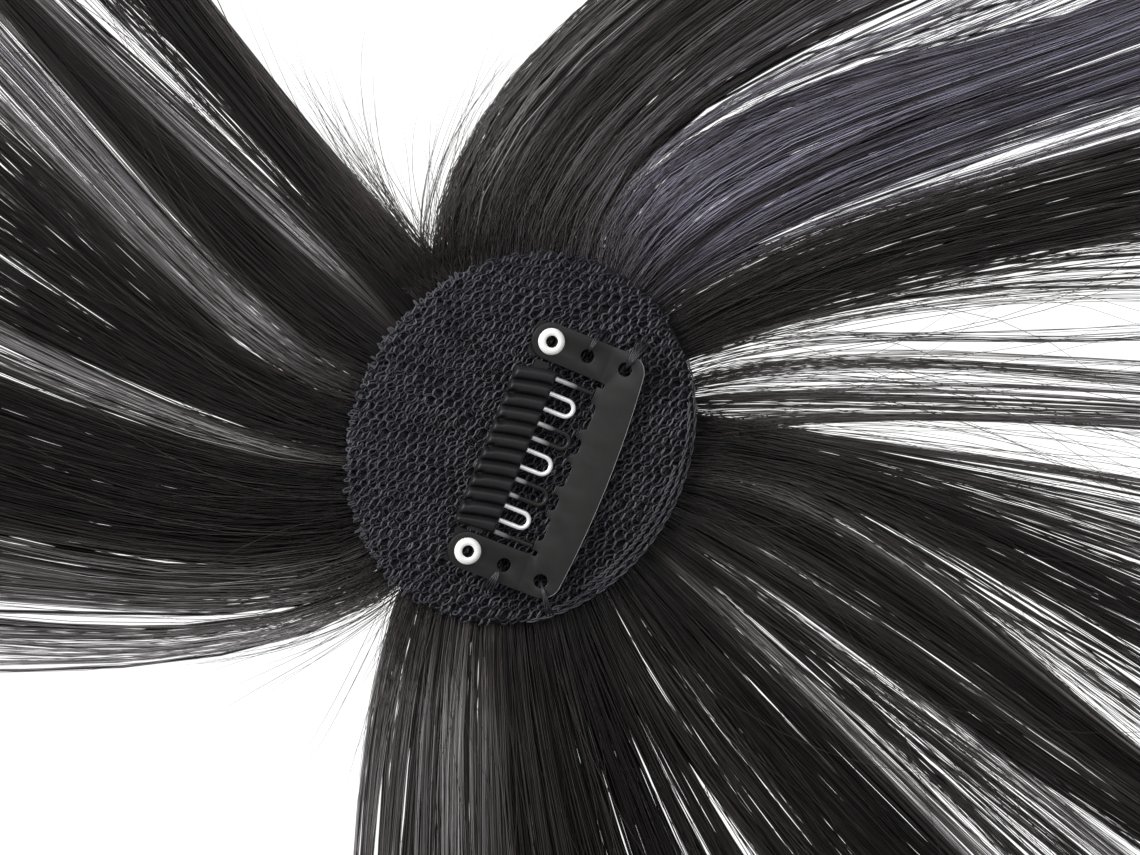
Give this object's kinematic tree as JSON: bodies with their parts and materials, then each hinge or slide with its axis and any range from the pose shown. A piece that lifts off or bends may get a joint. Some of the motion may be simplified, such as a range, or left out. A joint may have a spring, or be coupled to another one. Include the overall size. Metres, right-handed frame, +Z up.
{
  "type": "clip-in bangs",
  "caption": "Fringe of straight dark hair fanned out flat from an oval net base, with a snap comb clip sewn on its upper side.",
  "frame": {"origin": "on the surface the piece lies on, under the middle of the oval base", "axes": "+Z up through the base towards the clip, +Y towards the top of the picture, +X towards its right"},
  "size_m": [0.2895, 0.2906, 0.0116],
  "materials": {
    "hair": "glossy dark brown straight hair",
    "net": "matte dark grey knitted net",
    "black_steel": "satin black enamel",
    "bright_steel": "bright where the enamel has worn",
    "silicone": "satin dark grey",
    "rivet": "bright"
  },
  "bodies": {
    "root": {"hair": "hair", "net_base": "net", "clip_frame": "black_steel", "comb_tab_top": "bright_steel", "comb_tab_bottom": "bright_steel", "rivet_top": "rivet", "rivet_bottom": "rivet"},
    "comb": {"comb_plate": "bright_steel", "grip_strip": "silicone"}
  },
  "joints": [
    {"name": "comb_hinge", "type": "hinge", "parent": "root", "child": "comb", "pos_m": [-0.00131, -0.00095, 0.0094], "axis": [-0.3714, -0.9285, 0], "range_deg": [0, 35]}
  ]
}
